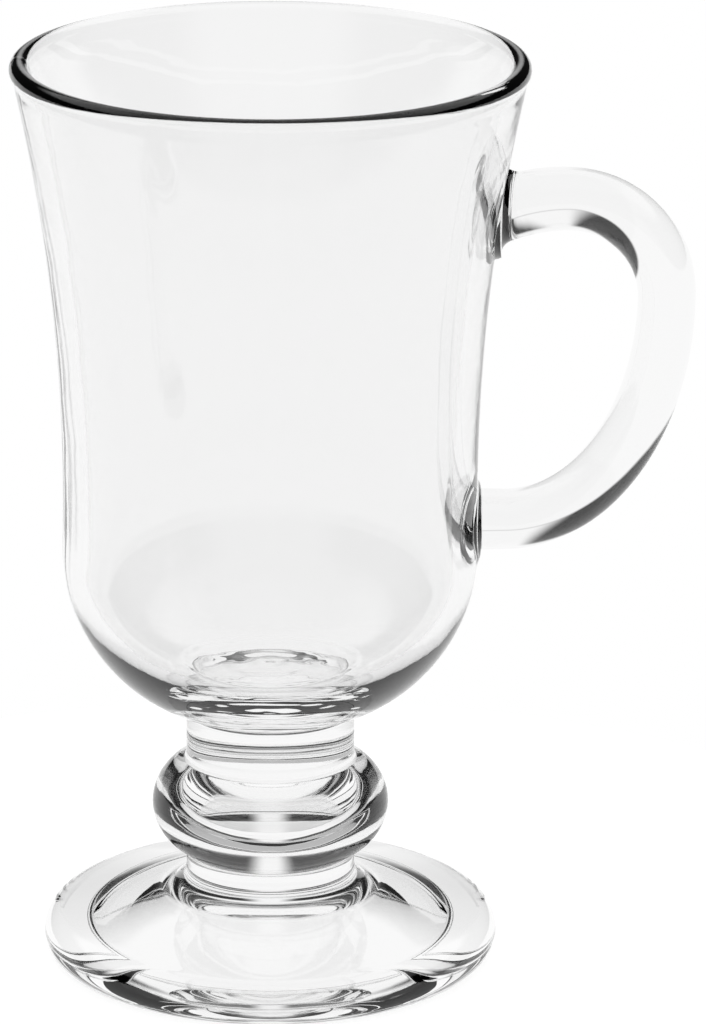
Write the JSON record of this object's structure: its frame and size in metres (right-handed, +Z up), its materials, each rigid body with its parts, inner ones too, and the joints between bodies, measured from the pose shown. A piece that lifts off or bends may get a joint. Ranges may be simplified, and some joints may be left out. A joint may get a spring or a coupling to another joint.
{
  "type": "irish coffee glass mug",
  "caption": "Clear glass mug for hot coffee drinks: a flared bowl with a rolled rim and loop handle, on a stem with a ball knop and a round foot.",
  "frame": {"origin": "middle of the foot's resting ring, on the surface that the mug stands on", "axes": "+Z up the mug's axis, +X from the axis towards the handle, +Y away from the viewer of the picture"},
  "size_m": [0.1061, 0.0802, 0.146],
  "materials": {
    "clear_glass": "clear, colourless soda-lime glass, pressed and fire-polished"
  },
  "bodies": {
    "root": {"bowl": "clear_glass", "handle": "clear_glass", "upper_neck": "clear_glass", "knop": "clear_glass", "lower_collar": "clear_glass", "foot": "clear_glass"}
  },
  "joints": []
}
